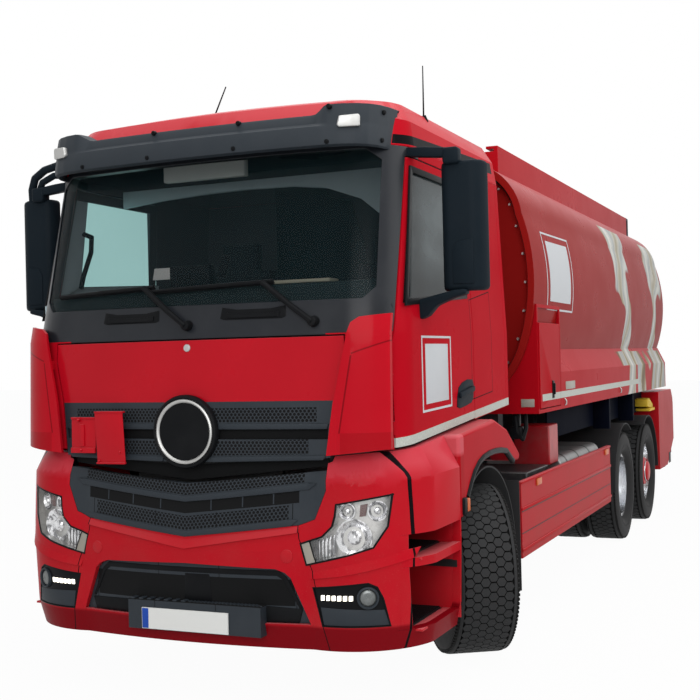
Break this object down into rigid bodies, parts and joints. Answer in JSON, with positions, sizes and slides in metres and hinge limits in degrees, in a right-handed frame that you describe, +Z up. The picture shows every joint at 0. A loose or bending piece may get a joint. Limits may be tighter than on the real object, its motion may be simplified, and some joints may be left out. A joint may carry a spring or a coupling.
{
  "type": "three-axle tank truck",
  "caption": "Cab-over tank truck with one steered axle and a rear tandem, oval tank, side lockers, rear cabinet, opening doors, flap and lids.",
  "frame": {"origin": "on the ground under the middle of the overall box", "axes": "+X to the vehicle's left, +Y to its rear, +Z up; the nose points to -Y"},
  "size_m": [3, 9.14, 3.332],
  "materials": {
    "red_paint": "gloss two-coat paint",
    "dark_plastic": "grained dark grey-blue plastic",
    "black_plastic": "black plastic",
    "window_glass": "tinted glass",
    "lamp_glass": "clear lens",
    "tyre_rubber": "road-worn rubber",
    "wheel_alloy": "polished",
    "frame_paint": "dark grey chassis paint",
    "axle_iron": "black painted casting",
    "aluminium": "mill finish",
    "plate_white": "blank plate",
    "cab_trim": "grained grey plastic",
    "seat_fabric": "woven seat cover",
    "liner_black": "moulded wheel liner"
  },
  "bodies": {
    "chassis": {"frame_rails": "frame_paint", "engine": "axle_iron", "radiator": "axle_iron", "front_axle": "axle_iron", "rear_axles": "axle_iron", "bumper": "red_paint", "bumper_grilles": "dark_plastic", "headlamps": "lamp_glass", "number_plate": "plate_white", "front_fenders": "red_paint", "cab_steps": "liner_black", "cab_roof": "red_paint", "cab_rear_wall": "red_paint", "cab_side_panels": "red_paint", "windscreen_frame": "black_plastic", "windscreen": "window_glass", "corner_panels": "red_paint", "sun_visor": "dark_plastic", "cab_floor": "cab_trim", "dashboard": "cab_trim", "seats": "seat_fabric", "tank_shell": "red_paint", "tank_coaming": "red_paint", "tank_bearers": "frame_paint", "side_trunks": "red_paint", "side_skirts": "red_paint", "rear_mudguards": "liner_black", "service_boxes": "frame_paint", "rear_cabinet": "red_paint", "rear_bumper": "frame_paint", "rear_ladder": "aluminium"},
    "steering_knuckle_left": {"knuckle_left": "axle_iron"},
    "front_wheel_left": {"tyre_front_left": "tyre_rubber", "rim_front_left": "wheel_alloy"},
    "drive_wheels_left": {"tyres_drive_left": "tyre_rubber", "rims_drive_left": "wheel_alloy"},
    "tag_wheel_left": {"tyre_tag_left": "tyre_rubber", "rim_tag_left": "wheel_alloy"},
    "cab_door_left": {"door_left": "red_paint", "door_glass_left": "window_glass", "mirror_left": "black_plastic"},
    "locker_lid_left": {"locker_door_left": "red_paint"},
    "steering_knuckle_right": {"knuckle_right": "axle_iron"},
    "front_wheel_right": {"tyre_front_right": "tyre_rubber", "rim_front_right": "wheel_alloy"},
    "drive_wheels_right": {"tyres_drive_right": "tyre_rubber", "rims_drive_right": "wheel_alloy"},
    "tag_wheel_right": {"tyre_tag_right": "tyre_rubber", "rim_tag_right": "wheel_alloy"},
    "cab_door_right": {"door_right": "red_paint", "door_glass_right": "window_glass", "mirror_right": "black_plastic"},
    "locker_lid_right": {"locker_door_right": "red_paint"},
    "front_flap": {"flap_panel": "red_paint", "flap_grille": "dark_plastic"},
    "steering_column": {"steering_wheel": "dark_plastic"},
    "rear_cabinet_door": {"rear_door": "red_paint"},
    "tank_lid_1": {"manlid_1": "aluminium"},
    "tank_lid_2": {"manlid_2": "aluminium"},
    "tank_lid_3": {"manlid_3": "aluminium"}
  },
  "joints": [
    {"name": "steer_left", "type": "hinge", "parent": "chassis", "child": "steering_knuckle_left", "pos_m": [1, -3.13, 0.498], "axis": [0, 0, 1], "range_deg": [-78, 12]},
    {"name": "spin_front_left", "type": "hinge", "parent": "steering_knuckle_left", "child": "front_wheel_left", "pos_m": [1.06709, -3.08643, 0.498], "axis": [0.8387, 0.5446, 0], "continuous": true},
    {"name": "spin_drive_left", "type": "hinge", "parent": "chassis", "child": "drive_wheels_left", "pos_m": [1.0775, 1.37, 0.507], "axis": [1, 0, 0], "continuous": true},
    {"name": "spin_tag_left", "type": "hinge", "parent": "chassis", "child": "tag_wheel_left", "pos_m": [1.0775, 2.72, 0.507], "axis": [1, 0, 0], "continuous": true},
    {"name": "open_door_left", "type": "hinge", "parent": "chassis", "child": "cab_door_left", "pos_m": [1.096, -4.306, 1.9], "axis": [0, 0, -1], "range_deg": [0, 75]},
    {"name": "open_locker_left", "type": "hinge", "parent": "chassis", "child": "locker_lid_left", "pos_m": [1.249, -1.896, 1.7], "axis": [0, 0, -1], "range_deg": [0, 110]},
    {"name": "steer_right", "type": "hinge", "parent": "chassis", "child": "steering_knuckle_right", "pos_m": [-1, -3.13, 0.498], "axis": [0, 0, 1], "range_deg": [-78, 12]},
    {"name": "spin_front_right", "type": "hinge", "parent": "steering_knuckle_right", "child": "front_wheel_right", "pos_m": [-1.06709, -3.17357, 0.498], "axis": [0.8387, 0.5446, 0], "continuous": true},
    {"name": "spin_drive_right", "type": "hinge", "parent": "chassis", "child": "drive_wheels_right", "pos_m": [-1.0775, 1.37, 0.507], "axis": [1, 0, 0], "continuous": true},
    {"name": "spin_tag_right", "type": "hinge", "parent": "chassis", "child": "tag_wheel_right", "pos_m": [-1.0775, 2.72, 0.507], "axis": [1, 0, 0], "continuous": true},
    {"name": "open_door_right", "type": "hinge", "parent": "chassis", "child": "cab_door_right", "pos_m": [-1.096, -4.306, 1.9], "axis": [0, 0, 1], "range_deg": [0, 75]},
    {"name": "open_locker_right", "type": "hinge", "parent": "chassis", "child": "locker_lid_right", "pos_m": [-1.249, -1.896, 1.7], "axis": [0, 0, 1], "range_deg": [0, 110]},
    {"name": "open_flap", "type": "hinge", "parent": "chassis", "child": "front_flap", "pos_m": [0, -4.467, 1.877], "axis": [-1, 0, 0], "range_deg": [0, 80]},
    {"name": "turn_steering_wheel", "type": "hinge", "parent": "chassis", "child": "steering_column", "pos_m": [0.56, -3.69, 2.06], "axis": [0, 0.5736, 0.8192], "range_deg": [-1404, 216]},
    {"name": "open_rear_door", "type": "hinge", "parent": "chassis", "child": "rear_cabinet_door", "pos_m": [0, 4.56, 1.166], "axis": [1, 0, 0], "range_deg": [0, 95]},
    {"name": "open_tank_lid_1", "type": "hinge", "parent": "chassis", "child": "tank_lid_1", "pos_m": [-0.315, -0.62, 3.248], "axis": [0, -1, 0], "range_deg": [0, 100]},
    {"name": "open_tank_lid_2", "type": "hinge", "parent": "chassis", "child": "tank_lid_2", "pos_m": [-0.315, 1.28, 3.248], "axis": [0, -1, 0], "range_deg": [0, 100]},
    {"name": "open_tank_lid_3", "type": "hinge", "parent": "chassis", "child": "tank_lid_3", "pos_m": [-0.315, 3.13, 3.248], "axis": [0, -1, 0], "range_deg": [0, 100]}
  ],
  "couplings": [
    {"joint": "steer_right", "follows": "steer_left", "ratio": 1},
    {"joint": "turn_steering_wheel", "follows": "steer_left", "ratio": 18}
  ]
}
